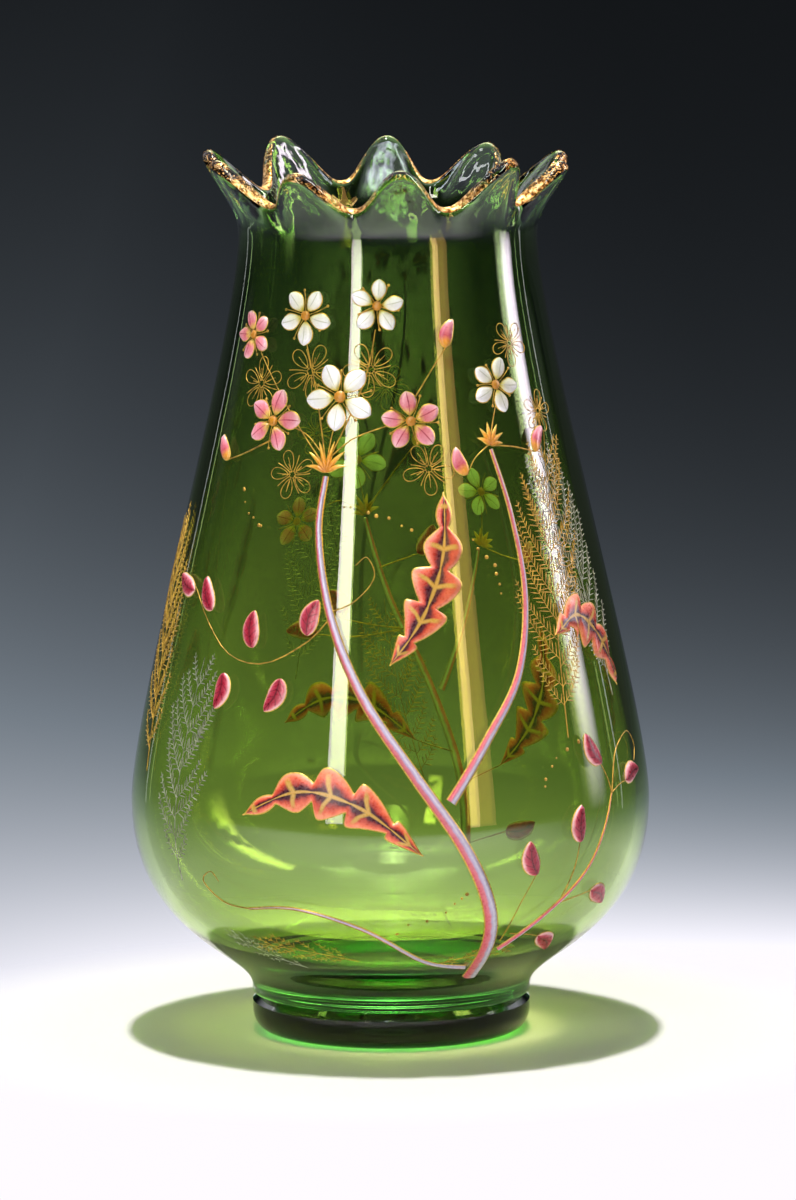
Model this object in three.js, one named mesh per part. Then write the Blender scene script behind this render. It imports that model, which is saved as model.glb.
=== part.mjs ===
// An enamelled glass vase. Millimetres, Z up, the front towards -Y, the origin at the centre of the
// foot's underside. The body is one blown bubble of green glass whose rim was pulled, while hot, into
// a crown of points. It stands on a foot that was gathered and fused on separately, and gilding
// covers its lip. Stems, blossoms, buds and leaves are coloured enamel, painted on the outside of
// the wall stroke by stroke and fired until they stand proud of it.
import * as THREE from "three";

// Fused pieces are drawn this far apart, so that each one stays a solid of its own
const FUSED_GAP = 0.3;

// Foot: a disc with a round side and a flat bevel above it, ground hollow underneath
const FOOT_RADIUS = 39.3;
const FOOT_HEIGHT = 10.7;
const FOOT_BEVEL = 2.2; // flat edge where the foot meets the body
const FOOT_REST_RADIUS = 33.6; // outer edge of the flat ring that it stands on
const FOOT_SIDE_HEIGHT = 6.4; // where its side reaches the full radius
const PONTIL_RADIUS = 20; // ground hollow in the middle of the underside
const PONTIL_DEPTH = 2.2;
const FOOT_COLUMNS = 40;
const FOOT_CURVE_STEPS = 3;

// Body: a short waist, a skirt that opens into the belly, and a long slope up to the neck
const WAIST_RADIUS = 39.4;
const WAIST_LENGTH = 1.7; // upright stretch above the foot
const WAIST_EASE = 0.5; // softened edge round the underside
const SKIRT_LIFT = 10.5; // how slowly the waist opens out
const BELLY_RADIUS = 73.3;
const BELLY_HEIGHT = 66;
const BELLY_DROP = 39; // fullness below the widest place
const BELLY_RISE = 25.8; // fullness above it
const NECK_RADIUS = 42.2;
const NECK_HEIGHT = 229;
const NECK_LENGTH = 19.9; // the wall turns upright again over this length
const NECK_FLARE = 2.75; // and opens by this much
const WALL = 3.5;
const FLOOR_THICKNESS = 5.5; // glass left in the bottom of the bubble
const FLOOR_SPREAD = 46; // how far out the inside stays flat
const FLOOR_TURN = 30.5; // how far below the belly it turns up

// Crown: a short plain rim, pulled up and out into points
const POINT_COUNT = 10;
const COLUMNS_PER_POINT = 8;
const COLUMN_GATHER = 1.35; // columns stand closer together near a tip
const LIP_THICKNESS = 3.9;
const RIM_RISE = 6; // from the neck to the middle of the lip, between two points
const RIM_FLARE = 0.9;
const RIM_LEAN = 8; // degrees that the plain rim leans out
const POINT_RISE = 11.6; // how much further a tip is pulled up
const POINT_FLARE = 9.4; // and out
const POINT_LEAN = 30; // and how much further it leans
const POINT_SHARPNESS = 1.15;
// Each point was pulled by hand: degrees that its tip stands off its even place, and millimetres up
const TIP_TURNS = [4, 6, 0, -1, 2, 0, 1, 8, 3, 6];
const TIP_RISES = [0, 1.9, -0.8, -0.8, -1, 0.3, 1.3, 0.3, 0, -1.2];

// Gilding over the lip
const GILT_THICKNESS = 0.3;
const LIP_STEP = 30; // degrees between two rings round the lip
const GILT_REACH = 2; // steps that the gilding goes down each side of it

// Enamel
const RELIEF = 0.9; // height of a full stroke
const EDGE_RELIEF = 0.4; // height of its edges
const MAIN_STEM_WIDTH = 4.6;
const SIDE_STEM_WIDTH = 3.2;
const TWIG_WIDTH = 2;
const STEM_TIP_SHARE = 0.4; // a stem's width at its end, to its width at its root
const STEM_CLEARANCE = 0.6; // bare glass between a stem and what springs from it
const LOBED_LEAF_WIDTH = 15;
const LOBE_COUNT = 5; // lobes along each side
const LOBE_NOTCH = 0.34; // width left between two lobes
const LOBE_SWEEP = 0.09; // how far the lobes point forward, to the leaf's length
const LEAFLET_LENGTH = 10.5;
const LEAFLET_WIDTH = 6;
const BUD_LENGTH = 8.5;
const BUD_WIDTH = 4.4;
const LEAF_BEND = 12; // degrees that a leaflet or bud curves
const TIP_WIDTH_SHARE = 0.12; // blunt end of a leaf, to its width
// Fullness of an outline: under 1 is fuller than a plain sine, and over 1 is slimmer
const LEAFLET_FULLNESS = 0.8;
const LOBED_LEAF_FULLNESS = 1.1;
const LOBE_FULLNESS = 0.8;
const PETAL_FULLNESS = 0.7;
// Where an outline is widest: under 1 moves that place towards the root
const LEAFLET_SWELL = 0.85;
const LOBED_LEAF_SWELL = 0.9;
const BLOSSOM_RADIUS = 10; // of a blossom of size 1
const PETAL_COUNT = 5;
const PETAL_CREST = 0.68; // where a petal stands highest, to the radius
const PETAL_NOTCH = 0.42; // radius between two petals, to the blossom's radius
const EYE_SHARE = 0.2; // radius of a blossom's raised eye, to its own
const EYE_HOLLOW = 1.4; // radius of the hollow round the eye, to the eye
const EYE_HEIGHT = 1.15; // height of the eye, to a full stroke

const rad = THREE.MathUtils.degToRad;
const BODY_BOTTOM = FOOT_HEIGHT + FUSED_GAP;
const WAIST_TOP = BODY_BOTTOM + WAIST_LENGTH;
const WALL_HEIGHT = NECK_HEIGHT - WAIST_TOP;

// Finishes
const finish = (color, roughness, more = {}) =>
  new THREE.MeshStandardMaterial({ color, roughness, metalness: 0, ...more });
const greenGlass = finish(0x3c8a2e, 0.05, { transparent: true, opacity: 0.6 });
const footGlass = finish(0x1d4a1c, 0.05, { transparent: true, opacity: 0.8 });
const gilt = finish(0xc08a3a, 0.35, { metalness: 1 });
const stemEnamel = finish(0xc3abc4, 0.3);
const whiteEnamel = finish(0xf3eff2, 0.22);
const pinkEnamel = finish(0xe88fa2, 0.24);
const coralEnamel = finish(0xe06a4e, 0.26);
const crimsonEnamel = finish(0xbd3f55, 0.25);

const vase = new THREE.Group();
vase.name = "enamelled_glass_vase";

function addPiece(name, geometry, material) {
  const mesh = new THREE.Mesh(geometry, material);
  mesh.name = name;
  vase.add(mesh);
}

// Outline of the outside, from the waist to the neck, as radius and height
const skirt = new THREE.CubicBezierCurve(
  new THREE.Vector2(WAIST_RADIUS, WAIST_TOP),
  new THREE.Vector2(WAIST_RADIUS, WAIST_TOP + SKIRT_LIFT),
  new THREE.Vector2(BELLY_RADIUS, BELLY_HEIGHT - BELLY_DROP),
  new THREE.Vector2(BELLY_RADIUS, BELLY_HEIGHT),
);
const shoulder = new THREE.CubicBezierCurve(
  new THREE.Vector2(BELLY_RADIUS, BELLY_HEIGHT),
  new THREE.Vector2(BELLY_RADIUS, BELLY_HEIGHT + BELLY_RISE),
  new THREE.Vector2(NECK_RADIUS - NECK_FLARE, NECK_HEIGHT - NECK_LENGTH),
  new THREE.Vector2(NECK_RADIUS, NECK_HEIGHT),
);
const SKIRT_RINGS = 9;
const SHOULDER_RINGS = 9;

// A quarter turn outwards from the direction of travel up an outline
const outwards = (direction) => new THREE.Vector2(direction.y, -direction.x);
const offset = (curve, share, distance) =>
  curve.getPoint(share).addScaledVector(outwards(curve.getTangent(share)), distance);

// Crown: the tips stand at their own turns, and the rim between two of them dips to a valley
function tipTurn(point) {
  const place = (point + POINT_COUNT) % POINT_COUNT;
  return (point * 360) / POINT_COUNT + TIP_TURNS[place % TIP_TURNS.length];
}

const crownColumns = [];
for (let point = 0; point < POINT_COUNT; point++) {
  for (let step = 0; step < COLUMNS_PER_POINT; step++) {
    const side = (2 * step) / COLUMNS_PER_POINT - 1;
    const fromTip = Math.abs(side) ** COLUMN_GATHER;
    const valley = (tipTurn(point) + tipTurn(point + Math.sign(side))) / 2;
    crownColumns.push({
      turn: THREE.MathUtils.lerp(tipTurn(point), valley, fromTip),
      pull: ((1 + Math.cos(Math.PI * fromTip)) / 2) ** POINT_SHARPNESS,
      tipRise: TIP_RISES[point % TIP_RISES.length],
    });
  }
}

// Middle of the rim's wall at one column, from the neck to the centre of the lip
function rimLine({ pull, tipRise }) {
  const upright = shoulder.getTangent(1);
  const neck = offset(shoulder, 1, -WALL / 2);
  const lip = new THREE.Vector2(
    neck.x + RIM_FLARE + POINT_FLARE * pull,
    neck.y + RIM_RISE + (POINT_RISE + tipRise) * pull,
  );
  const lean = rad(RIM_LEAN + POINT_LEAN * pull);
  const handle = neck.distanceTo(lip) / 3;
  return new THREE.CubicBezierCurve(
    neck,
    neck.clone().addScaledVector(upright, handle),
    lip.clone().sub(new THREE.Vector2(Math.sin(lean), Math.cos(lean)).multiplyScalar(handle)),
    lip,
  );
}

// Points round the lip, from its outer side over the top to its inner side
function lipArc(line, radius, reach) {
  const ahead = line.getTangent(1);
  const across = outwards(ahead);
  const points = [];
  for (let step = reach; step >= -reach; step--) {
    const angle = rad(step * LIP_STEP);
    const point = line.getPoint(1).addScaledVector(ahead, radius * Math.cos(angle));
    points.push(point.addScaledVector(across, radius * Math.sin(angle)));
  }
  return points;
}

// A lathe whose every column has an outline of its own, all with as many points
function crownedLathe(outlineAt) {
  const outlines = crownColumns.map(outlineAt);
  const geometry = new THREE.LatheGeometry(outlines[0], outlines.length);
  const position = geometry.attributes.position;
  const rows = outlines[0].length;
  for (let vertex = 0; vertex < position.count; vertex++) {
    const column = Math.floor(vertex / rows) % outlines.length;
    const { x: radius, y: height } = outlines[column][vertex % rows];
    const turn = rad(crownColumns[column].turn);
    position.setXYZ(vertex, radius * Math.sin(turn), -radius * Math.cos(turn), height);
  }
  return geometry;
}

// Glass body
const RIM_RINGS = 4;
const INSIDE_RINGS = 5;
const BOWL_RINGS = 7;

function bodyOutline(column) {
  const line = rimLine(column);
  const rim = (side) => (ring) => {
    const thickness = THREE.MathUtils.lerp(WALL, LIP_THICKNESS, ring / RIM_RINGS);
    return offset(line, ring / RIM_RINGS, (side * thickness) / 2);
  };
  const rimSteps = [...Array(RIM_RINGS).keys()].slice(1);
  const inside = new THREE.CubicBezierCurve(
    new THREE.Vector2(0, BODY_BOTTOM + FLOOR_THICKNESS),
    new THREE.Vector2(FLOOR_SPREAD, BODY_BOTTOM + FLOOR_THICKNESS),
    new THREE.Vector2(BELLY_RADIUS - WALL, BELLY_HEIGHT - FLOOR_TURN),
    new THREE.Vector2(BELLY_RADIUS - WALL, BELLY_HEIGHT),
  );
  const insideShoulder = [];
  for (let ring = INSIDE_RINGS; ring > 0; ring--) {
    insideShoulder.push(offset(shoulder, ring / INSIDE_RINGS, -WALL));
  }
  return [
    new THREE.Vector2(0, BODY_BOTTOM),
    new THREE.Vector2(WAIST_RADIUS - WAIST_EASE, BODY_BOTTOM),
    new THREE.Vector2(WAIST_RADIUS, BODY_BOTTOM + WAIST_EASE),
    ...skirt.getPoints(SKIRT_RINGS),
    ...shoulder.getPoints(SHOULDER_RINGS).slice(1),
    ...rimSteps.map(rim(1)),
    ...lipArc(line, LIP_THICKNESS / 2, 90 / LIP_STEP),
    ...rimSteps.reverse().map(rim(-1)),
    ...insideShoulder,
    ...inside.getPoints(BOWL_RINGS).reverse(),
  ];
}

addPiece("glass_body", crownedLathe(bodyOutline), greenGlass);

// Foot
function footGeometry() {
  const outline = new THREE.Path();
  outline.moveTo(0, PONTIL_DEPTH);
  outline.quadraticCurveTo(PONTIL_RADIUS / 2, PONTIL_DEPTH, PONTIL_RADIUS, 0);
  outline.lineTo(FOOT_REST_RADIUS, 0);
  outline.quadraticCurveTo(FOOT_RADIUS, 0, FOOT_RADIUS, FOOT_SIDE_HEIGHT);
  outline.lineTo(FOOT_RADIUS, FOOT_HEIGHT - FOOT_BEVEL);
  outline.lineTo(FOOT_RADIUS - FOOT_BEVEL, FOOT_HEIGHT);
  outline.lineTo(0, FOOT_HEIGHT);
  return new THREE.LatheGeometry(outline.getPoints(FOOT_CURVE_STEPS), FOOT_COLUMNS).rotateX(Math.PI / 2);
}

addPiece("foot", footGeometry(), footGlass);

// Gilding: a thin shell that wraps the lip
function giltOutline(column) {
  const line = rimLine(column);
  const inner = LIP_THICKNESS / 2 + FUSED_GAP;
  const shell = [
    ...lipArc(line, inner + GILT_THICKNESS, GILT_REACH),
    ...lipArc(line, inner, GILT_REACH).reverse(),
  ];
  return [...shell, shell[0]];
}

addPiece("rim_gilding", crownedLathe(giltOutline), gilt);

// The outside wall as the painter sees it: a turn in degrees from the front, positive to the right,
// and a height as a share of the way from the waist to the neck
const wallPoints = [...skirt.getPoints(40), ...shoulder.getPoints(60).slice(1)];

function wallAt(share) {
  const height = WAIST_TOP + share * WALL_HEIGHT;
  const found = wallPoints.findIndex((point) => point.y > height);
  const above = found < 0 ? wallPoints.length - 1 : Math.max(found, 1);
  const [low, high] = [wallPoints[above - 1], wallPoints[above]];
  const part = (height - low.y) / (high.y - low.y);
  return {
    radius: THREE.MathUtils.lerp(low.x, high.x, part),
    height,
    upwards: high.clone().sub(low).normalize(),
  };
}

function onGlass([turn, share], lift) {
  const { radius, height, upwards } = wallAt(share);
  const out = outwards(upwards).multiplyScalar(lift);
  const angle = rad(turn);
  const reach = radius + out.x;
  return new THREE.Vector3(reach * Math.sin(angle), -reach * Math.cos(angle), height + out.y);
}

function placeOf(point) {
  const turn = THREE.MathUtils.radToDeg(Math.atan2(point.x, -point.y));
  return [turn, (point.z - WAIST_TOP) / WALL_HEIGHT];
}

// The place reached by going so many millimetres over the glass, 0 degrees to the right and 90 up
function wander([turn, share], aim, distance) {
  const { radius, upwards } = wallAt(share);
  const across = distance * Math.cos(rad(aim));
  const up = distance * Math.sin(rad(aim));
  return [turn + THREE.MathUtils.radToDeg(across / radius), share + (up * upwards.y) / WALL_HEIGHT];
}

// A route over the glass through the given places
function routeThrough(places) {
  const curve = new THREE.SplineCurve(places.map(([turn, share]) => new THREE.Vector2(turn, share)));
  return (part) => curve.getPoint(THREE.MathUtils.clamp(part, 0, 1)).toArray();
}

// The line along a route at one part of it: where it is, which way it runs and what is beside it
function travel(route, part) {
  const nudge = 0.01;
  const here = onGlass(route(part), 0);
  const before = onGlass(route(Math.max(part - nudge, 0)), 0);
  const after = onGlass(route(Math.min(part + nudge, 1)), 0);
  const ahead = after.sub(before).normalize();
  const out = onGlass(route(part), 1).sub(here);
  return { here, right: ahead.cross(out).normalize() };
}

// A stroke of enamel: a six-sided bar whose every corner is carried on to the glass. Its upper edge
// is rounded to a ridge, and its underside follows the wall. Two corners lie on the middle line,
// the ridge at 1 and the underside at -1, the others stand half as far up or down, and the middle
// of each end is at 0.
const STROKE_SIDES = 6;

function brushStroke({ route, steps, halfWidth, sweep = () => 0, relief = RELIEF }) {
  const geometry = new THREE.CylinderGeometry(1, 1, 1, STROKE_SIDES, steps);
  const position = geometry.attributes.position;
  for (let vertex = 0; vertex < position.count; vertex++) {
    const part = position.getY(vertex) + 0.5;
    const x = position.getX(vertex);
    const z = position.getZ(vertex);
    const side = Math.sign(Math.round(x));
    const top = side === 0 ? relief : EDGE_RELIEF;
    const endMiddle = z === 0 ? EDGE_RELIEF / 2 : 0;
    const { here, right } = travel(route, part + Math.abs(side) * sweep(part));
    const beside = here.addScaledVector(right, side * halfWidth(part));
    const lift = FUSED_GAP + (z > 0 ? top : endMiddle);
    position.setXYZ(vertex, ...onGlass(placeOf(beside), lift).toArray());
  }
  return geometry;
}

// Stems and twigs grow thinner from the root to the end
function stem(places, width, steps) {
  const halfWidth = (part) => (width / 2) * THREE.MathUtils.lerp(1, STEM_TIP_SHARE, part);
  return { route: routeThrough(places), steps, halfWidth };
}

// Where something springs from a stem: beside it, on the given side, with bare glass between
function springFrom(parent, part, side, width) {
  const { here, right } = travel(parent.route, part);
  const distance = parent.halfWidth(part) + STEM_CLEARANCE + width / 2;
  return placeOf(here.addScaledVector(right, side * distance));
}

// An oval leaf or bud, bent a little to one side
const LEAFLET_STEPS = 5;

function ovalLeaf(root, aim, length, width) {
  const middle = wander(root, aim + LEAF_BEND, length / 2);
  const tip = wander(root, aim, length);
  const halfWidth = (part) => {
    const share = Math.sin(Math.PI * part ** LEAFLET_SWELL) ** LEAFLET_FULLNESS;
    return (width / 2) * Math.max(share, TIP_WIDTH_SHARE);
  };
  const route = routeThrough([root, middle, tip]);
  return brushStroke({ route, steps: LEAFLET_STEPS, halfWidth });
}

// A leaf with round lobes along both sides
const STEPS_PER_LOBE = 5;

function lobedLeaf(places) {
  const lobe = (part) => Math.abs(Math.sin(Math.PI * LOBE_COUNT * part)) ** LOBE_FULLNESS;
  const body = (part) =>
    Math.max(Math.sin(Math.PI * part ** LOBED_LEAF_SWELL), 0) ** LOBED_LEAF_FULLNESS;
  const halfWidth = (part) => {
    const share = body(part) * THREE.MathUtils.lerp(LOBE_NOTCH, 1, lobe(part));
    return (LOBED_LEAF_WIDTH / 2) * Math.max(share, TIP_WIDTH_SHARE);
  };
  const sweep = (part) => LOBE_SWEEP * lobe(part) * (1 - part);
  const steps = STEPS_PER_LOBE * LOBE_COUNT;
  return brushStroke({ route: routeThrough(places), steps, halfWidth, sweep });
}

// A blossom: a turned disc whose rim is drawn in between the petals. Its outline gives shares of
// the blossom's radius, and heights above its underside.
const COLUMNS_PER_PETAL = 6;

function blossom(centre, size, turned) {
  const radius = size * BLOSSOM_RADIUS;
  const outline = [
    [0, 0],
    [0.5, 0],
    [1, 0],
    [1, EDGE_RELIEF],
    [PETAL_CREST, RELIEF],
    [EYE_SHARE * EYE_HOLLOW, EDGE_RELIEF],
    [EYE_SHARE, RELIEF],
    [0, RELIEF * EYE_HEIGHT],
  ].map(([share, height]) => new THREE.Vector2(share, height));
  const columns = COLUMNS_PER_PETAL * PETAL_COUNT;
  const geometry = new THREE.LatheGeometry(outline, columns).rotateX(Math.PI / 2);
  const position = geometry.attributes.position;
  for (let vertex = 0; vertex < position.count; vertex++) {
    const [x, y, height] = new THREE.Vector3().fromBufferAttribute(position, vertex).toArray();
    const angle = Math.atan2(y, x);
    const petal = Math.abs(Math.sin((PETAL_COUNT * angle) / 2)) ** PETAL_FULLNESS;
    const share = Math.hypot(x, y);
    const outsideEye = share > (EYE_SHARE * EYE_HOLLOW + 0.5) / 2;
    const drawnIn = outsideEye ? THREE.MathUtils.lerp(PETAL_NOTCH, 1, petal) : 1;
    const aim = THREE.MathUtils.radToDeg(angle) + turned;
    const place = wander(centre, aim, radius * share * drawnIn);
    position.setXYZ(vertex, ...onGlass(place, FUSED_GAP + height).toArray());
  }
  return geometry;
}

// Stems on the front
const mainStem = stem(
  [[27, 0.045], [24.5, 0.13], [16.5, 0.23], [5, 0.33], [-7, 0.43], [-15.5, 0.53], [-20, 0.63], [-19, 0.7]],
  MAIN_STEM_WIDTH,
  24,
);
const fork = springFrom(mainStem, 0.36, 1, SIDE_STEM_WIDTH);
const rightStem = stem(
  [fork, [23, 0.37], [33, 0.45], [38, 0.55], [37, 0.65], [33, 0.73]],
  SIDE_STEM_WIDTH,
  18,
);
const leftTwig = stem(
  [springFrom(mainStem, 0.04, -1, TWIG_WIDTH), [9, 0.075], [-7, 0.125], [-22, 0.15], [-35, 0.145]],
  TWIG_WIDTH,
  14,
);
const rightTwig = stem(
  [springFrom(mainStem, 0.08, 1, TWIG_WIDTH), [39, 0.13], [50, 0.19], [58, 0.28]],
  TWIG_WIDTH,
  12,
);
addPiece("main_stem", brushStroke(mainStem), stemEnamel);
addPiece("right_stem", brushStroke(rightStem), stemEnamel);
addPiece("left_twig", brushStroke(leftTwig), stemEnamel);
addPiece("right_twig", brushStroke(rightTwig), stemEnamel);

// Adds like pieces, numbered in order, each from a row of its own
function addPieces(name, rows, make) {
  rows.forEach((row, index) => addPiece(`${name}_${index + 1}`, ...make(row)));
}
const makeBlossom = ([centre, size, turned, enamel]) => [blossom(centre, size, turned), enamel];
const makeBud = ([root, aim]) => [ovalLeaf(root, aim, BUD_LENGTH, BUD_WIDTH), pinkEnamel];
const makeLeaflet = ([root, aim]) => [ovalLeaf(root, aim, LEAFLET_LENGTH, LEAFLET_WIDTH), crimsonEnamel];
const makeLobedLeaf = (midrib) => [lobedLeaf(midrib), coralEnamel];

// Blossoms: place of the centre, size, degrees turned and enamel
addPieces("blossom", [
  [[-16, 0.8], 1.02, 10, whiteEnamel],
  [[-39.5, 0.765], 0.92, 40, pinkEnamel],
  [[7, 0.77], 0.88, 62, pinkEnamel],
  [[-31, 0.9], 0.84, 22, whiteEnamel],
  [[-4, 0.915], 0.8, 50, whiteEnamel],
  [[-55, 0.87], 0.74, 5, pinkEnamel],
  [[38, 0.81], 0.82, 30, whiteEnamel],
], makeBlossom);

// Buds: place of the root and direction
addPieces("bud", [
  [[-57, 0.71], 130],
  [[20, 0.86], 70],
  [[24, 0.7], 110],
  [[51, 0.72], 55],
], makeBud);

// Coral leaves, each along its midrib
addPieces("lobed_leaf", [
  [[0, 0.465], [8.5, 0.525], [14.5, 0.6], [16, 0.68]],
  [[7, 0.225], [-6, 0.285], [-20, 0.305], [-34, 0.27]],
  [[46, 0.49], [55, 0.51], [64, 0.475], [70, 0.41]],
], makeLobedLeaf);

// Crimson leaflets: place of the root and direction
addPieces("leaflet_left", [
  [[-21, 0.5], 75],
  [[-27, 0.445], 245],
  [[-36, 0.48], 95],
  [[-44, 0.445], 260],
  [[-52, 0.52], 120],
  [[-62, 0.54], 160],
], makeLeaflet);
addPieces("leaflet_right", [
  [[34, 0.19], 105],
  [[41, 0.1], 320],
  [[46, 0.225], 85],
  [[53, 0.155], 330],
  [[55, 0.32], 120],
  [[65, 0.29], 10],
], makeLeaflet);

// A smaller sprig on the back
const backStem = stem(
  [[160, 0.12], [164, 0.24], [171, 0.36], [180, 0.47], [187, 0.58]],
  SIDE_STEM_WIDTH,
  16,
);
const backTwig = stem(
  [springFrom(backStem, 0.45, -1, TWIG_WIDTH), [160, 0.44], [154, 0.54]],
  TWIG_WIDTH,
  10,
);
addPiece("back_stem", brushStroke(backStem), stemEnamel);
addPiece("back_twig", brushStroke(backTwig), stemEnamel);
addPieces("back_blossom", [
  [[190, 0.66], 0.94, 15, whiteEnamel],
  [[208, 0.58], 0.8, 50, pinkEnamel],
  [[151, 0.62], 0.78, 35, whiteEnamel],
], makeBlossom);
addPieces("back_bud", [
  [[172, 0.68], 110],
  [[140, 0.53], 130],
], makeBud);
addPieces("back_leaf", [
  [[174, 0.27], [185, 0.32], [196, 0.33], [206, 0.3]],
  [[153, 0.24], [144, 0.3], [138, 0.37], [136, 0.44]],
], makeLobedLeaf);
addPieces("back_leaflet", [
  [[192, 0.44], 60],
  [[199, 0.42], 10],
  [[172, 0.53], 120],
  [[150, 0.15], 160],
], makeLeaflet);

export default vase;
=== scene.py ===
import math
import random

import bpy
import numpy as np
from mathutils import Matrix, Vector


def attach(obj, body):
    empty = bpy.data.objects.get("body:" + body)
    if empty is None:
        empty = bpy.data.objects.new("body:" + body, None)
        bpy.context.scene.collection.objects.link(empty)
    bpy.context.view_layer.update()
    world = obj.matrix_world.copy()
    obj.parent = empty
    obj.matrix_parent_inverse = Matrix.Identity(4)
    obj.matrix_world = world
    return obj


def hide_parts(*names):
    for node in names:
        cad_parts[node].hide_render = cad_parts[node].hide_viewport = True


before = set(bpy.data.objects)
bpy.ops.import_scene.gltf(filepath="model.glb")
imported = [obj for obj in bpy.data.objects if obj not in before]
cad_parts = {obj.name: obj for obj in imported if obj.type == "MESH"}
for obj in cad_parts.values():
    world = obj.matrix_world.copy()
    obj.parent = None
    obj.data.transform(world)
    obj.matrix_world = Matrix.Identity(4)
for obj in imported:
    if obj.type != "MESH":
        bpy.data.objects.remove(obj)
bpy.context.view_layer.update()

# Glass body: one bubble of clear green glass, blown with a thick base and a thin wall, cracked off
# the pipe at the neck, reheated and pulled with pincers into a crown of ten leaning points.
MM = 0.001
BODY_BOTTOM = 10.8
WAIST_TOP = 12.7
WAIST_RADIUS = 39.4
WAIST_EASE = 0.5
SKIRT_LIFT = 10.5
BELLY_RADIUS = 73.3
BELLY_HEIGHT = 66.0
BELLY_DROP = 39.0
BELLY_RISE = 25.8
NECK_RADIUS = 42.2
NECK_HEIGHT = 229.0
NECK_LENGTH = 19.9
NECK_FLARE = 2.75
WALL = 3.5
FLOOR_HEIGHT = 16.5
FLOOR_SPREAD = 46.0
FLOOR_TURN = 30.5
SKIRT = [
    (WAIST_RADIUS, WAIST_TOP), (WAIST_RADIUS, WAIST_TOP + SKIRT_LIFT),
    (BELLY_RADIUS, BELLY_HEIGHT - BELLY_DROP), (BELLY_RADIUS, BELLY_HEIGHT),
]
SHOULDER = [
    (BELLY_RADIUS, BELLY_HEIGHT), (BELLY_RADIUS, BELLY_HEIGHT + BELLY_RISE),
    (NECK_RADIUS - NECK_FLARE, NECK_HEIGHT - NECK_LENGTH), (NECK_RADIUS, NECK_HEIGHT),
]
BOWL = [
    (0, FLOOR_HEIGHT), (FLOOR_SPREAD, FLOOR_HEIGHT),
    (BELLY_RADIUS - WALL, BELLY_HEIGHT - FLOOR_TURN), (BELLY_RADIUS - WALL, BELLY_HEIGHT),
]
LIP = 3.9
RIM_RISE = 6.0
RIM_FLARE = 0.9
RIM_LEAN = 8.0
POINT_RISE = 11.6
POINT_FLARE = 9.4
POINT_LEAN = 30.0
POINT_SHARPNESS = 1.15
TIP_TURNS = [4, 42, 72, 107, 146, 180, 217, 260, 291, 330]
TIP_RISES = [0, 1.9, -0.8, -0.8, -1, 0.3, 1.3, 0.3, 0, -1.2]
COLUMNS = 360
SKIRT_STEPS = 26
SHOULDER_STEPS = 34
RIM_STEPS = 14
LIP_STEPS = 12
INSIDE_STEPS = 22


def bezier(ends, part):
    """Point on a cubic curve and the unit direction that it runs in."""
    start, first, second, end = (np.array(point, float) for point in ends)
    rest = 1 - part
    point = rest**3 * start + 3 * rest**2 * part * first + 3 * rest * part**2 * second + part**3 * end
    ahead = rest**2 * (first - start) + 2 * rest * part * (second - first) + part**2 * (end - second)
    return point, ahead / np.linalg.norm(ahead)


def beside(ends, part, distance):
    """Point that lies so far outside a curve, square to it."""
    point, ahead = bezier(ends, part)
    return point + distance * np.array([ahead[1], -ahead[0]])


def pull_at(turn):
    """How far the rim is pulled towards a tip at one turn, and how much higher that tip stands."""
    after = sum(tip <= turn % 360 for tip in TIP_TURNS)
    low, high = after - 1, after
    tips = [TIP_TURNS[-1] - 360] + TIP_TURNS + [TIP_TURNS[0] + 360]
    left, right = tips[low + 1], tips[high + 1]
    side = 2 * (turn % 360 - left) / (right - left)
    from_tip = min(side, 2 - side)
    nearest = (low if side < 1 else high) % len(TIP_RISES)
    pull = ((1 + math.cos(math.pi * from_tip)) / 2) ** POINT_SHARPNESS
    return pull, TIP_RISES[nearest]


def rim_line(pull, tip_rise):
    """Middle of the rim's wall, from the neck to the centre of the lip."""
    neck = beside(SHOULDER, 1, -WALL / 2)
    upright = bezier(SHOULDER, 1)[1]
    lip = neck + (RIM_FLARE + POINT_FLARE * pull, RIM_RISE + (POINT_RISE + tip_rise) * pull)
    lean = math.radians(RIM_LEAN + POINT_LEAN * pull)
    handle = np.linalg.norm(lip - neck) / 3
    leaning = np.array([math.sin(lean), math.cos(lean)])
    return [neck, neck + handle * upright, lip - handle * leaning, lip]


def lip_arc(line, radius, reach, steps):
    """Points round the lip from its outer side over the top to its inner side."""
    centre, ahead = bezier(line, 1)
    across = np.array([ahead[1], -ahead[0]])
    angles = [math.radians(reach * (1 - 2 * step / steps)) for step in range(steps + 1)]
    return [centre + radius * (ahead * math.cos(a) + across * math.sin(a)) for a in angles]


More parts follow.
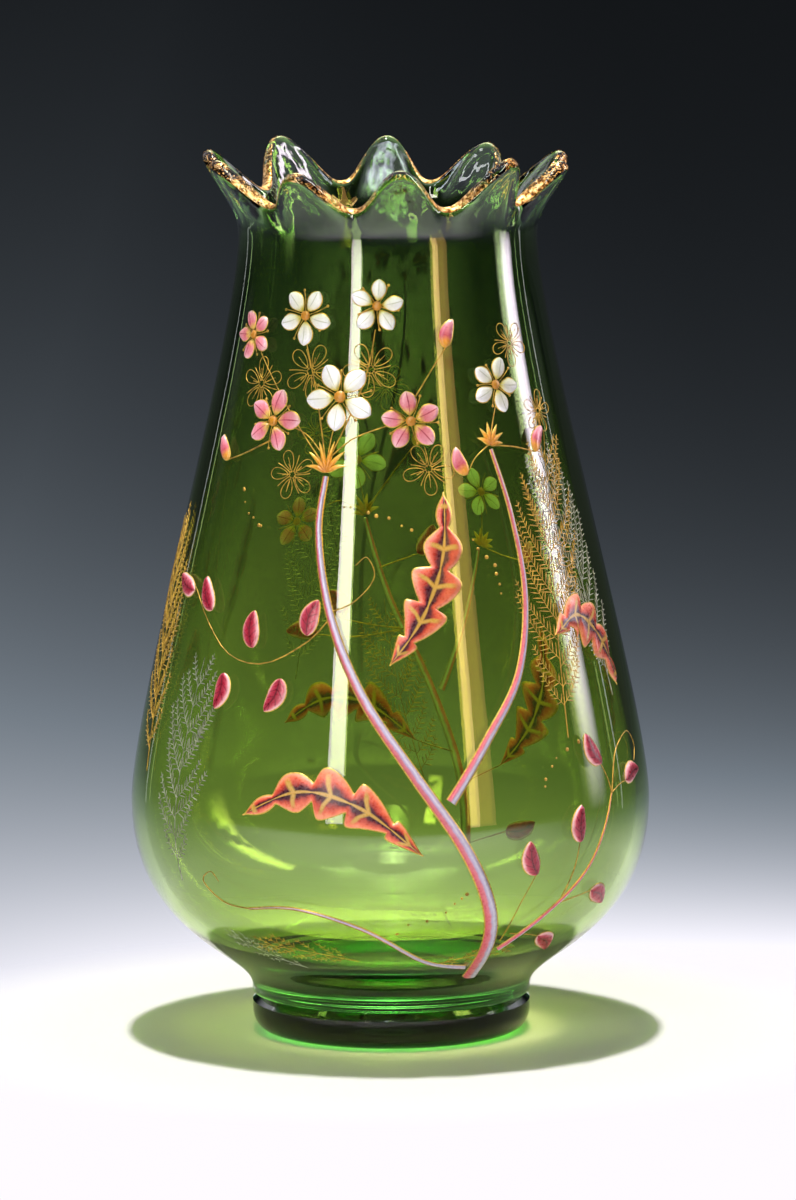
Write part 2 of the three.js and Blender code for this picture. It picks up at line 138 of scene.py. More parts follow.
def body_outline(pull, tip_rise):
    """Outline from the middle of the underside up the outside, over the lip and down the inside."""
    line = rim_line(pull, tip_rise)
    rim_parts = [step / RIM_STEPS for step in range(1, RIM_STEPS)]
    thickness = {part: WALL + (LIP - WALL) * part for part in rim_parts}
    outline = [np.array(p) for p in ((0, BODY_BOTTOM), (WAIST_RADIUS - WAIST_EASE, BODY_BOTTOM))]
    outline += [np.array((WAIST_RADIUS, BODY_BOTTOM + WAIST_EASE))]
    outline += [bezier(SKIRT, step / SKIRT_STEPS)[0] for step in range(SKIRT_STEPS)]
    outline += [bezier(SHOULDER, step / SHOULDER_STEPS)[0] for step in range(SHOULDER_STEPS + 1)]
    outline += [beside(line, part, thickness[part] / 2) for part in rim_parts]
    outline += lip_arc(line, LIP / 2, 90, LIP_STEPS)
    outline += [beside(line, part, -thickness[part] / 2) for part in reversed(rim_parts)]
    outline += [beside(SHOULDER, step / INSIDE_STEPS, -WALL) for step in range(INSIDE_STEPS, 0, -1)]
    outline += [bezier(BOWL, step / INSIDE_STEPS)[0] for step in range(INSIDE_STEPS, -1, -1)]
    return outline


def select(*pieces):
    """Selects these pieces and no others, and leaves the first one active."""
    bpy.ops.object.select_all(action="DESELECT")
    for piece in reversed(pieces):
        piece.select_set(True)
        bpy.context.view_layer.objects.active = piece


def start_from(add, name, **sizes):
    """Adds a primitive with nothing else selected, and names it."""
    select()
    add(**sizes)
    piece = bpy.context.object
    piece.name = name
    piece.data.name = name
    return piece


def place_points(piece, points):
    """Moves the mesh's points to new places, given in millimetres."""
    piece.data.vertices.foreach_set("co", (np.array(points, float) * MM).ravel())
    piece.data.update()


def spun(name, outline, closed):
    """Spins an outline of radius and height once round the vase's axis."""
    piece = start_from(bpy.ops.mesh.primitive_circle_add, name, vertices=len(outline), radius=1)
    place_points(piece, [(0, -radius, height) for radius, height in outline])
    bpy.ops.object.mode_set(mode="EDIT")
    bpy.ops.mesh.select_mode(type="EDGE")
    if not closed:
        bpy.ops.mesh.select_all(action="DESELECT")
        bpy.ops.object.mode_set(mode="OBJECT")
        ends = {0, len(outline) - 1}
        for edge in piece.data.edges:
            edge.select = set(edge.vertices) == ends
        bpy.ops.object.mode_set(mode="EDIT")
        bpy.ops.mesh.delete(type="EDGE")
    bpy.ops.mesh.select_all(action="SELECT")
    bpy.ops.mesh.spin(steps=COLUMNS, angle=math.tau, center=(0, 0, 0), axis=(0, 0, 1))
    bpy.ops.mesh.select_all(action="SELECT")
    bpy.ops.mesh.remove_doubles(threshold=0.000002)
    bpy.ops.mesh.normals_make_consistent(inside=False)
    bpy.ops.object.mode_set(mode="OBJECT")
    bpy.ops.object.shade_smooth()
    return piece


def crown(piece, outline_at):
    """Pulls each point of a spun rim to where the outline at its own turn has it."""
    plain = np.array(outline_at(0, 0))
    pulled = {}
    places = []
    for vertex in piece.data.vertices:
        x, y, height = (value / MM for value in vertex.co)
        radius = math.hypot(x, y)
        row = int(np.argmin(np.hypot(plain[:, 0] - radius, plain[:, 1] - height)))
        column = round(math.degrees(math.atan2(x, -y)) * COLUMNS / 360) % COLUMNS
        if column not in pulled:
            pulled[column] = outline_at(*pull_at(column * 360 / COLUMNS))
        radius, height = pulled[column][row]
        angle = math.radians(column * 360 / COLUMNS)
        places.append((radius * math.sin(angle), -radius * math.cos(angle), height))
    place_points(piece, places)


def new_material(name):
    """A material with its node tree and its shader."""
    material = bpy.data.materials.new(name)
    material.use_nodes = True
    return material, material.node_tree, material.node_tree.nodes["Principled BSDF"]


def feed(node, inputs):
    """Gives each of a node's inputs a fixed value or another node's result."""
    for name, value in inputs.items():
        if isinstance(value, bpy.types.NodeSocket):
            node.id_data.links.new(value, node.inputs[name])
        else:
            node.inputs[name].default_value = value


def new_node(tree, kind, inputs=None):
    """Adds a node, feeds its inputs, and hands back its outputs."""
    node = tree.nodes.new("ShaderNode" + kind)
    feed(node, inputs or {})
    return node.outputs


def own_place(tree):
    """Where a point lies on its own piece, for patterns that stay on it."""
    return new_node(tree, "TexCoord")["Object"]


def split(vector):
    """The X, Y and Z of a place or a direction."""
    return new_node(vector.id_data, "SeparateXYZ", {"Vector": vector})


def mixed(share, first, second):
    """A shader that goes from the first to the second as the share goes from nought to one."""
    return new_node(share.id_data, "MixShader", {"Fac": share, 1: first, 2: second})["Shader"]


def noise(tree, scale, detail, stretch=None):
    """Noise on the piece's own place, in features per metre."""
    place = own_place(tree)
    if stretch:
        place = new_node(tree, "Mapping", {"Vector": place, "Scale": stretch})["Vector"]
    return new_node(tree, "TexNoise", {"Vector": place, "Scale": scale, "Detail": detail})["Fac"]


def ramp(value, stops):
    """Colour ramp through stops of a place and a colour or a grey."""
    node = value.id_data.nodes.new("ShaderNodeValToRGB")
    elements = node.color_ramp.elements
    while len(elements) < len(stops):
        elements.new(0.5)
    for element, (place, colour) in zip(elements, stops):
        element.position = place
        element.color = (*colour, 1) if isinstance(colour, tuple) else (colour, colour, colour, 1)
    feed(node, {"Fac": value})
    return node.outputs["Color"]


def bump(height, distance, **more):
    """Relief from a height, for a shader's normal."""
    return new_node(height.id_data, "Bump", {"Height": height, "Distance": distance, **more})["Normal"]


# Green by height in mm: the gather's own grading, plus painted shade on the lower belly and painted light at
# the waist
GREEN_AND_PAINTED_SHADE = [
    (15, (0.86, 1.0, 0.44)), (21, (0.84, 0.97, 0.43)), (28, (0.55, 0.67, 0.25)), (45, (0.6, 0.71, 0.27)),
    (70, (0.763, 0.878, 0.312)), (120, (0.763, 0.878, 0.312)), (210, (0.519, 0.667, 0.312)),
    (226, (0.519, 0.667, 0.312)), (240, (0.42, 0.72, 0.13)),
]
# A lamp's light passes straight through, and less of it where it meets the wall at a slant
PASSED = [
    (0.0, (0.6, 0.57, 0.33)), (0.62, (0.54, 0.52, 0.3)), (0.78, (0.27, 0.27, 0.15)),
    (1.0, (0.07, 0.065, 0.035)),
]
SLANT_BLEND = 0.35
DEEP_GREEN = (0.42, 0.82, 0.62, 1)
GLASS_IOR = 1.5
RIPPLES = 38
CREASES = 150
PULLED_FROM = 226
PULLED_TO = 236


def clear_glass(name, density, ripple, pulled=0):
    """Clear green glass: colour from its depth, faint ripples, and lamps shine through it."""
    material, tree, glass = new_material(name)
    height = split(own_place(tree))["Z"]
    relief = bump(noise(tree, RIPPLES, 2, (1, 1, 0.5)), ripple * MM)
    if pulled:
        # The hot rim was drawn out with pincers, which leaves creases that run up the points
        creased = ramp(height, [(PULLED_FROM * MM, 0.0), (PULLED_TO * MM, 1.0)])
        creases = noise(tree, CREASES, 2, (1, 1, 0.35))
        relief = bump(creases, pulled * MM, Strength=creased, Normal=relief)
    feed(glass, {
        # Base colour by height: the glass's own green, with painted shade low on the belly and painted light
        # at the waist
        "Base Color": ramp(height, [(place * MM, colour) for place, colour in GREEN_AND_PAINTED_SHADE]),
        "Roughness": 0,
        "IOR": GLASS_IOR,
        "Transmission Weight": 1,
        "Normal": relief,
    })
    facing = new_node(tree, "LayerWeight", {"Blend": SLANT_BLEND})["Facing"]
    through = new_node(tree, "BsdfTransparent", {"Color": ramp(facing, PASSED)})["BSDF"]
    lamp_light = new_node(tree, "LightPath")["Is Shadow Ray"]
    depth = {"Color": DEEP_GREEN, "Density": density}
    feed(tree.nodes["Material Output"], {
        "Surface": mixed(lamp_light, glass.outputs["BSDF"], through),
        "Volume": new_node(tree, "VolumeAbsorption", depth)["Volume"],
    })
    return material


def fit(piece, material, slot, *nodes):
    """Gives a piece its material and ties it to the vase in place of the named nodes."""
    piece.data.materials.clear()
    piece.data.materials.append(material)
    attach(piece, "root")
    if nodes:
        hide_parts(*nodes)


body = spun("body_glass", body_outline(0, 0), closed=False)
crown(body, body_outline)
fit(body, clear_glass("green_glass", density=38, ripple=0.04, pulled=0.5), "green_glass", "glass_body")


# Foot: a second gather, of deeper green glass, pressed on under the body and sheared round, with a
# flat bevel round its top and a hollow ground in the middle, where the pontil rod was broken off.
FOOT = 39.3
FOOT_TOP = 10.7
FOOT_BEVEL = 2.2
REST_RADIUS = 33.6
HOLLOW_STEPS = 12
SIDE_STEPS = 14
SIDE_HEIGHT = 6.4
PONTIL = 20.0
PONTIL_DEPTH = 2.2
FUSED = 36.5
SEAM = 0.2
FOOT_SHARP = 40


def bent(start, middle, end, steps):
    """Points along a quadratic curve, without its start."""
    parts = [step / steps for step in range(1, steps + 1)]
    start, middle, end = (np.array(point, float) for point in (start, middle, end))
    return [(1 - p) ** 2 * start + 2 * (1 - p) * p * middle + p**2 * end for p in parts]


foot_outline = [np.array((0, PONTIL_DEPTH))]
foot_outline += bent((0, PONTIL_DEPTH), (PONTIL / 2, PONTIL_DEPTH), (PONTIL, 0), HOLLOW_STEPS)
foot_outline += [np.array((REST_RADIUS, 0))]
foot_outline += bent((REST_RADIUS, 0), (FOOT, 0), (FOOT, SIDE_HEIGHT), SIDE_STEPS)
top_edge = [(FOOT, FOOT_TOP - FOOT_BEVEL), (FOOT - FOOT_BEVEL, FOOT_TOP), (FUSED, FOOT_TOP)]
seam = [(FUSED - SEAM, FOOT_TOP + SEAM), (0, FOOT_TOP + SEAM)]
foot_outline += [np.array(point) for point in top_edge + seam]
foot = spun("foot_glass", foot_outline, closed=False)
bpy.ops.object.shade_smooth_by_angle(angle=math.radians(FOOT_SHARP))
fit(foot, clear_glass("foot_glass", density=340, ripple=0.04), "foot_glass", "foot")


# Lip gilding: a film of liquid bright gold, brushed over the lip of the crown, fired on and
# burnished. Handling has worn it to specks, most of all on the points.
GILT = 0.12
GILT_GAP = 0.04
GILT_REACH = 60
GILT_STEPS = 10
VALLEY_TOP = 237.5
TIP_BARE = 246.0
WEAR_IN_VALLEYS = 0.44
WEAR_ON_TIPS = 0.57
WORN_PATCHES = 230
WORN_SPECKS = 2600
TARNISH = 900
BRUSHING = 1500
GOLD_TONES = [(0.42, (0.16, 0.06, 0.012)), (0.51, (0.62, 0.33, 0.09)), (0.64, (1.0, 0.66, 0.29))]


def gilt_outline(pull, tip_rise):
    """Outline of the gold film, out over the lip and back along the glass."""
    line = rim_line(pull, tip_rise)
    outer = lip_arc(line, LIP / 2 + GILT_GAP + GILT, GILT_REACH, GILT_STEPS)
    return outer + lip_arc(line, LIP / 2 + GILT_GAP, GILT_REACH, GILT_STEPS)[::-1]


def maths(operation, *values):
    """One sum on one or two values, each a number or another node's result."""
    tree = next(value.id_data for value in values if isinstance(value, bpy.types.NodeSocket))
    sum_node = tree.nodes.new("ShaderNodeMath")
    sum_node.operation = operation
    feed(sum_node, dict(enumerate(values)))
    return sum_node.outputs["Value"]


def worn_gold(name):
    """Burnished gold film, rubbed off the tips and down to specks on the way to them."""
    material, tree, gold = new_material(name)
    tone = noise(tree, TARNISH, 4)
    wear = new_node(tree, "MapRange", {
        "Value": split(own_place(tree))["Z"],
        "From Min": VALLEY_TOP * MM,
        "From Max": TIP_BARE * MM,
        "To Min": WEAR_IN_VALLEYS,
        "To Max": WEAR_ON_TIPS,
    })["Result"]
    patches = maths("MULTIPLY", noise(tree, WORN_PATCHES, 4), 0.4)
    specks = maths("MULTIPLY", noise(tree, WORN_SPECKS, 3), 0.6)
    feed(gold, {
        "Base Color": ramp(tone, GOLD_TONES),
        "Metallic": 1,
        "Roughness": ramp(noise(tree, BRUSHING, 2), [(0.3, 0.28), (0.7, 0.58)]),
        "Alpha": maths("GREATER_THAN", maths("ADD", patches, specks), wear),
        "Normal": bump(tone, 0.05 * MM),
    })
    return material


gilding = spun("lip_gilding", gilt_outline(0, 0), closed=True)
crown(gilding, gilt_outline)
fit(gilding, worn_gold("lip_gold"), "gilding", "rim_gilding")


# Stems: thick enamel, half rose and half lilac, laid on the fired glass with one pull of the brush
# inside a thin gold line, and melted on in the kiln. The side stems start beside the main one.
WALL_HEIGHT = NECK_HEIGHT - WAIST_TOP
SEAT = -0.05
GOLD_LINE = 0.36
LINE_HEIGHT = 0.07
FULL_RELIEF = 0.8
LINE_FROM = 0.9
# Half of a stroke, cut across from its crest outwards: how much of the enamel's half width and of
# the gold line's width lies inside each point, and its share of the full relief
UNDERSIDE = math.nan
CUT = [
    (0, 0, 1.0), (0.4, 0, 0.95), (0.72, 0, 0.78), (0.93, 0, 0.42), (1, 0, 0), (1, 1, 0),
    (1, 1, UNDERSIDE), (0, 0, UNDERSIDE),
]
SIDES = 2 * len(CUT) - 2
BAR_SHARP = 55
MAIN_WIDTH = 4.6
SIDE_WIDTH = 3.2
TWIG_WIDTH = 2
STEM_TIP = 0.4
SPRINGS_CLEAR = 0.6
FORK_AT = 0.36
LEFT_TWIG_AT = 0.04
RIGHT_TWIG_AT = 0.08
MAIN_STEM = [
    (27, 0.045), (24.5, 0.13), (16.5, 0.23), (5, 0.33), (-7, 0.43), (-15.5, 0.53), (-20, 0.63), (-19, 0.7),
]
RIGHT_STEM = [(23, 0.37), (33, 0.45), (38, 0.55), (37, 0.65), (33, 0.73)]
LEFT_TWIG = [(9, 0.075), (-7, 0.125), (-22, 0.15), (-35, 0.145)]
RIGHT_TWIG = [(39, 0.13), (50, 0.19), (58, 0.28)]

skirt = [bezier(SKIRT, part)[0] for part in np.linspace(0, 1, 41)]
shoulder = [bezier(SHOULDER, part)[0] for part in np.linspace(0, 1, 61)]
wall = np.array(skirt + shoulder[1:])
wall_leans = np.arctan2(np.gradient(wall[:, 0]), np.gradient(wall[:, 1]))


def on_glass(places, lifts=0.0):
    """Points on the glass. A place is degrees round from the front and a share of the wall's height."""
    turns, shares = np.array(places, float).reshape(-1, 2).T
    heights = WAIST_TOP + shares * WALL_HEIGHT
    leans = np.interp(heights, wall[:, 1], wall_leans)
    reach = np.interp(heights, wall[:, 1], wall[:, 0]) + lifts * np.cos(leans)
    angles = np.radians(turns)
    return np.column_stack((reach * np.sin(angles), -reach * np.cos(angles), heights - lifts * np.sin(leans)))


def place_of(points):
    """The places on the glass next to some points."""
    turns = np.degrees(np.arctan2(points[:, 0], -points[:, 1]))
    return np.column_stack((turns, (points[:, 2] - WAIST_TOP) / WALL_HEIGHT))


def wander(place, aims, distances):
    """Places so many millimetres away over the glass, 0 degrees to the right and 90 upwards."""
    height = WAIST_TOP + place[1] * WALL_HEIGHT
    radius = np.interp(height, wall[:, 1], wall[:, 0])
    steep = np.cos(np.interp(height, wall[:, 1], wall_leans))
    turns = place[0] + np.degrees(distances * np.cos(np.radians(aims)) / radius)
    shares = place[1] + distances * np.sin(np.radians(aims)) * steep / WALL_HEIGHT
    return np.stack((turns, shares), axis=-1)


def route_through(places):
    """A smooth route through the places, as a function of the part of it that is behind."""
    stops = np.array([places[0], *places, places[-1]], float)

    def at(parts):
        """Places at these parts of the route."""
        behind = np.clip(parts, 0, 1) * (len(places) - 1)
        leg = np.minimum(behind.astype(int), len(places) - 2)
        rest = (behind - leg)[:, None]
        before, start, end, after = (stops[leg + step] for step in range(4))
        leaving, coming = (end - before) / 2, (after - start) / 2
        cube = 2 * (start - end) + leaving + coming
        square = 3 * (end - start) - 2 * leaving - coming
        return start + rest * (leaving + rest * (square + rest * cube))

    return at


def travel(route, parts):
    """Points of a route at its parts, and the direction to the right of it there."""
    nudge = 0.01
    here = on_glass(route(parts))
    ahead = on_glass(route(np.minimum(parts + nudge, 1))) - on_glass(route(np.maximum(parts - nudge, 0)))
    right = np.cross(ahead, on_glass(route(parts), 1) - here)
    return here, right / np.linalg.norm(right, axis=1, keepdims=True)


def in_scene(name, data):
    """A new object in the scene that holds the data."""
    piece = bpy.data.objects.new(name, data)
    bpy.context.scene.collection.objects.link(piece)
    return piece


bars = {}


def bar(name, steps):
    """A straight bar cut across into steps: modelled once for each count of steps, then copied."""
    if steps not in bars:
        plain = start_from(bpy.ops.mesh.primitive_cylinder_add, "bar", vertices=SIDES, radius=1, depth=1)
        bpy.ops.object.mode_set(mode="EDIT")
        bpy.ops.mesh.select_all(action="DESELECT")
        bpy.ops.mesh.select_mode(type="EDGE")
        bpy.ops.object.mode_set(mode="OBJECT")
        corners = plain.data.vertices
        for edge in plain.data.edges:
            edge.select = corners[edge.vertices[0]].co.z * corners[edge.vertices[1]].co.z < 0
        bpy.ops.object.mode_set(mode="EDIT")
        bpy.ops.mesh.subdivide(number_cuts=steps - 1)
        bpy.ops.object.mode_set(mode="OBJECT")
        bpy.ops.object.shade_smooth_by_angle(angle=math.radians(BAR_SHARP))
        bars[steps] = plain.data
        bpy.data.objects.remove(plain)
    piece = in_scene(name, bars[steps].copy())
    piece.data.name = name
    return piece


def lay(piece, route, half_width, sweep=None, line=GOLD_LINE):
    """Lays a bar on the glass along a route, as a raised stroke with a flat gold line round it."""
    points = np.empty(len(piece.data.vertices) * 3)
    piece.data.vertices.foreach_get("co", points)
    x, y, z = points.reshape(-1, 3).T
    parts = np.clip(z + 0.5, 0, 1)
    turns = np.round(np.arctan2(-x, y) / math.tau * SIDES).astype(int) % SIDES
    sides = np.where(turns < len(CUT), 1, -1)
    rows = np.minimum(turns, SIDES - turns)
    shares, edges, heights = np.array(CUT)[rows].T
    half = half_width(parts)
    inner = np.maximum(half - line, 0)
    full = np.minimum(inner / FULL_RELIEF, 1)
    lifts = np.where(np.isnan(heights), SEAT, LINE_HEIGHT + heights * full * FULL_RELIEF)
    across = sides * (shares * inner + edges * np.minimum(half, line))
    along = parts
    if sweep:
        along = parts + np.minimum(np.abs(across) / half.max(), 1) ** 0.5 * sweep(parts)
    here, right = travel(route, along)
    place_points(piece, on_glass(place_of(here + right * across[:, None]), lifts))
    laid = piece.data.attributes.new("laid", "FLOAT_VECTOR", "POINT")
    tints = sides * (shares * LINE_FROM + edges * (1 - LINE_FROM))
    laid.data.foreach_set("vector", np.column_stack((tints, parts, np.zeros(len(parts)))).ravel())
    return piece


def linear(colour):
    """A colour of three numbers up to 255, as the lamps see it."""
    shares = [value / 255 for value in colour]
    return tuple(s / 12.92 if s <= 0.04045 else ((s + 0.055) / 1.055) ** 2.4 for s in shares)


def blend(share, first, second):
    """A mix of two colours, each a fixed one or another node's result."""
    mix = share.id_data.nodes.new("ShaderNodeMix")
    mix.data_type = "RGBA"
    colours = [(*colour, 1) if isinstance(colour, tuple) else colour for colour in (first, second)]
    feed(mix, {0: share, 6: colours[0], 7: colours[1]})
    return mix.outputs[2]


def clamp(value, low, high):
    """Keeps a value between two others."""
    return maths("MAXIMUM", low, maths("MINIMUM", high, value))


def band(value, nought, one):
    """Goes from nought to one as the value goes from the first place to the second."""
    return clamp(maths("DIVIDE", maths("SUBTRACT", value, nought), one - nought), 0, 1)


LINE_GOLD = (206, 168, 62)
CLOUDS = 420
GRAIN = 1400
# Where each vein ends and where it is full
MIDRIB = (0.1, 0.04)
SIDE_VEIN = (0.09, 0.03)
ALL_VEINS = (0.8, 0.55)


def painted(name, follow, tones, uneven=0.2, vein=None, veins=0, vein_slant=0.0):
    """Glossy fired enamel whose colour follows the stroke, with brushed veins and its gold line."""
    material, tree, paint = new_material(name)
    laid = tree.nodes.new("ShaderNodeAttribute")
    laid.attribute_name = "laid"
    stroke = split(laid.outputs["Vector"])
    along, edge = stroke["Y"], maths("ABSOLUTE", stroke["X"])
    sideways = maths("ADD", 0.5, maths("MULTIPLY", stroke["X"], 0.5))
    value = {"across": sideways, "along": along, "edge": edge}[follow]
    clouds = maths("SUBTRACT", noise(tree, CLOUDS, 4), 0.5)
    tone = maths("ADD", value, maths("MULTIPLY", clouds, uneven * 2))
    colour = ramp(tone, [(place, linear(shade)) for place, shade in tones])
    if vein:
        midrib = band(edge, *MIDRIB)
        leaning = maths("MULTIPLY", edge, -vein_slant)
        counted = maths("FRACT", maths("ADD", maths("MULTIPLY", along, veins), leaning))
        off_vein = maths("ABSOLUTE", maths("SUBTRACT", counted, 0.5))
        side = maths("MULTIPLY", band(off_vein, *SIDE_VEIN), band(edge, *ALL_VEINS))
        colour = blend(maths("MAXIMUM", midrib, side), colour, linear(vein))
    gold = band(edge, LINE_FROM - 0.005, LINE_FROM + 0.01)
    grain = noise(tree, GRAIN, 3)
    feed(paint, {
        "Base Color": blend(gold, colour, linear(LINE_GOLD)),
        "Metallic": maths("MULTIPLY", gold, 0.4),
        "Roughness": ramp(grain, [(0.3, 0.2), (0.7, 0.42)]),
        "Normal": bump(grain, 0.04 * MM),
    })
    return material


def stem_width(width):
    """Half the width of a stem that grows thinner from its root to its end."""
    return lambda parts: width / 2 * (1 + (STEM_TIP - 1) * parts)


def spring_from(parent, parent_width, part, side, width):
    """The place beside a stem where another starts, with bare glass between them."""
    parts = np.array([part])
    here, right = travel(parent, parts)
    distance = stem_width(parent_width)(parts)[0] + SPRINGS_CLEAR + width / 2
    return tuple(place_of(here + right * side * distance)[0])


def paint_stem(name, node, route, width, steps):
    """Lays one stem along its route."""
    fit(lay(bar(name, steps), route, stem_width(width)), stem_paint, "stem_enamel", node)


stem_paint = painted("stem_enamel", "across", [
    (0.12, (206, 92, 104)), (0.36, (214, 118, 134)), (0.5, (186, 170, 206)),
    (0.68, (214, 208, 226)), (0.86, (176, 160, 190)),
], uneven=0.14)
main_route = route_through(MAIN_STEM)
fork = spring_from(main_route, MAIN_WIDTH, FORK_AT, 1, SIDE_WIDTH)
left_root = spring_from(main_route, MAIN_WIDTH, LEFT_TWIG_AT, -1, TWIG_WIDTH)
right_root = spring_from(main_route, MAIN_WIDTH, RIGHT_TWIG_AT, 1, TWIG_WIDTH)
paint_stem("stem_main", "main_stem", main_route, MAIN_WIDTH, steps=110)
paint_stem("stem_right", "right_stem", route_through([fork, *RIGHT_STEM]), SIDE_WIDTH, steps=80)
paint_stem("twig_left", "left_twig", route_through([left_root, *LEFT_TWIG]), TWIG_WIDTH, steps=60)
paint_stem("twig_right", "right_twig", route_through([right_root, *RIGHT_TWIG]), TWIG_WIDTH, steps=50)


# Blossoms: five raised petals each, painted wet from the eye outwards so that the yellow of the
# base runs into the white or the pink, with a domed amber eye and gold stamens between the petals.
BLOSSOMS = [
    ((-16, 0.8), 1.02, 10, "white"), ((-39.5, 0.765), 0.92, 40, "pink"), ((7, 0.77), 0.88, 62, "pink"),
    ((-31, 0.9), 0.84, 22, "white"), ((-4, 0.915), 0.8, 50, "white"), ((-55, 0.87), 0.74, 5, "pink"),
    ((38, 0.81), 0.82, 30, "white"),
]
BLOSSOM_REACH = 10
PETALS = 5
PETAL_ROOT = 0.17
PETAL_HALF_WIDTH = 0.3
PETAL_STEPS = 16
PETAL_LINE = 0.3
EYE = 0.17
STAMEN_LONG = 1.1
STAMEN_SHORT = 0.72
STAMEN_CURL = 8
STAMEN_WIDTH = 0.26
STAMEN_BEAD = 0.42
DROP_SUNK = 0.3
DROP_HEIGHT = 0.5
LINE_LIFT = 0.03
METAL_PATCHES = 700
hand = random.Random(11)


def petal_width(reach):
    """Half the width of a petal, widest beyond its middle."""
    return lambda parts: reach * PETAL_HALF_WIDTH * np.maximum(np.sin(math.pi * parts**1.3), 0.0001) ** 0.8


def petals(name, centre, size, turned):
    """Five petals laid round a centre, each a little different, joined in one piece."""
    reach = size * BLOSSOM_REACH
    laid = []
    for count in range(PETALS):
        aim = turned + (count + 0.5) * 360 / PETALS + hand.uniform(-4, 4)
        tip = reach * hand.uniform(0.93, 1)
        root = wander(centre, aim, tip * PETAL_ROOT)
        middle = wander(centre, aim + hand.uniform(-4, 4), tip * 0.55)
        route = route_through([root, middle, wander(centre, aim, tip)])
        laid.append(lay(bar(name, PETAL_STEPS), route, petal_width(tip), line=PETAL_LINE))
    return joined(laid)


def joined(pieces):
    """Pieces of one kind made into a single piece that keeps the first one's name."""
    select(*pieces)
    bpy.ops.object.join()
    return pieces[0]


def drops(name, places, sizes, paint):
    """Sets round drops of enamel or gold on the glass, all in one piece."""
    laid = []
    for place, size in zip(places, sizes):
        drop = start_from(bpy.ops.mesh.primitive_ico_sphere_add, name, subdivisions=2, radius=1)
        points = np.array([vertex.co for vertex in drop.data.vertices])
        aims = np.degrees(np.arctan2(points[:, 1], points[:, 0]))
        spots = wander(place, aims, np.hypot(points[:, 0], points[:, 1]) * size)
        place_points(drop, on_glass(spots, SEAT + (points[:, 2] + DROP_SUNK) * size * DROP_HEIGHT))
        bpy.ops.object.shade_smooth()
        laid.append(drop)
    piece = joined(laid)
    bpy.ops.object.mode_set(mode="EDIT")
    bpy.ops.mesh.select_all(action="SELECT")
    bpy.ops.mesh.normals_make_consistent(inside=False)
    bpy.ops.object.mode_set(mode="OBJECT")
    fit(piece, paint, "gilding")


def fine_lines(name, lines, metal):
    """Draws thin lines in one piece, each given by its places and its width at every place."""
    drawing = bpy.data.curves.new(name, "CURVE")
    drawing.dimensions = "3D"
    drawing.bevel_depth = MM / 2
    drawing.bevel_resolution = 0
    drawing.use_fill_caps = True
    for places, widths in lines:
        points = on_glass(places, LINE_LIFT) * MM
        line = drawing.splines.new("POLY")
        line.points.add(len(points) - 1)
        line.points.foreach_set("co", np.column_stack((points, np.ones(len(points)))).ravel())
        line.points.foreach_set("radius", np.broadcast_to(widths, len(points)).astype(float))
    select(in_scene(name, drawing))
    bpy.ops.object.convert(target="MESH")
    bpy.ops.object.shade_smooth()
    fit(bpy.context.object, metal, "gilding")


def drawn_metal(name, light, dark):
    """Fired metal powder: matt where it has lost its burnish, thin in places."""
    material, tree, metal = new_material(name)
    patches = noise(tree, METAL_PATCHES, 4)
    feed(metal, {
        "Base Color": ramp(patches, [(0.35, linear(dark)), (0.65, linear(light))]),
        "Metallic": 0.6,
        "Roughness": 0.42,
        "Normal": bump(patches, 0.02 * MM),
    })
    return material


white_petals = painted("white_enamel", "along", [
    (0.0, (150, 140, 30)), (0.13, (204, 190, 62)), (0.32, (232, 228, 212)), (0.75, (246, 244, 248)),
    (1.0, (232, 228, 240)),
], uneven=0.06, vein=(206, 204, 190))
pink_petals = painted("pink_enamel", "along", [
    (0.0, (160, 140, 36)), (0.2, (220, 176, 76)), (0.4, (222, 116, 128)), (0.75, (234, 152, 168)),
    (1.0, (246, 204, 210)),
], uneven=0.08, vein=(186, 70, 92))
amber = painted("amber_enamel", "along", [(0.0, (196, 130, 30)), (1.0, (236, 176, 50))])
gold_line = drawn_metal("line_gold", (206, 160, 62), (134, 100, 34))
PETAL_PAINT = {"white": white_petals, "pink": pink_petals}


def stamens(centre, size, turned):
    """Gold lines in the gaps between the petals, each ending in a small bead."""
    reach = size * BLOSSOM_REACH
    lines, beads = [], []
    for count in range(2 * PETALS):
        aim = turned + count * 180 / PETALS + hand.uniform(-5, 5)
        length = reach * hand.uniform(0.62, 0.8) * (STAMEN_SHORT if count % 2 else STAMEN_LONG)
        parts = np.linspace(0.18, 1, 5)
        aims = aim + STAMEN_CURL * (parts - 0.2)
        lines.append((wander(centre, aims, length * parts), STAMEN_WIDTH))
        beads.append(wander(centre, aims[-1], length))
    return lines, beads


def paint_blossoms(name, node, blossoms):
    """Lays the blossoms of a sprig, and gives the lines and the beads of their stamens."""
    lines, beads = [], []
    for number, (centre, size, turned, colour) in enumerate(blossoms, 1):
        blossom = petals(f"{name}_{number}", centre, size, turned)
        fit(blossom, PETAL_PAINT[colour], f"{colour}_enamel", f"{node}_{number}")
        more_lines, more_beads = stamens(centre, size, turned)
        lines += more_lines
        beads += more_beads
    return lines, beads


def paint_eyes(name, blossoms):
    """Sets an amber eye in the middle of each blossom."""
    centres = [centre for centre, size, turned, colour in blossoms]
    sizes = [size * BLOSSOM_REACH * EYE for centre, size, turned, colour in blossoms]
    drops(name, centres, sizes, amber)


stamen_lines, beads = paint_blossoms("petals", "blossom", BLOSSOMS)
paint_eyes("blossom_eyes", BLOSSOMS)
drops("stamen_beads", beads, [STAMEN_BEAD] * len(beads), gold_line)
fine_lines("stamens", stamen_lines, gold_line)


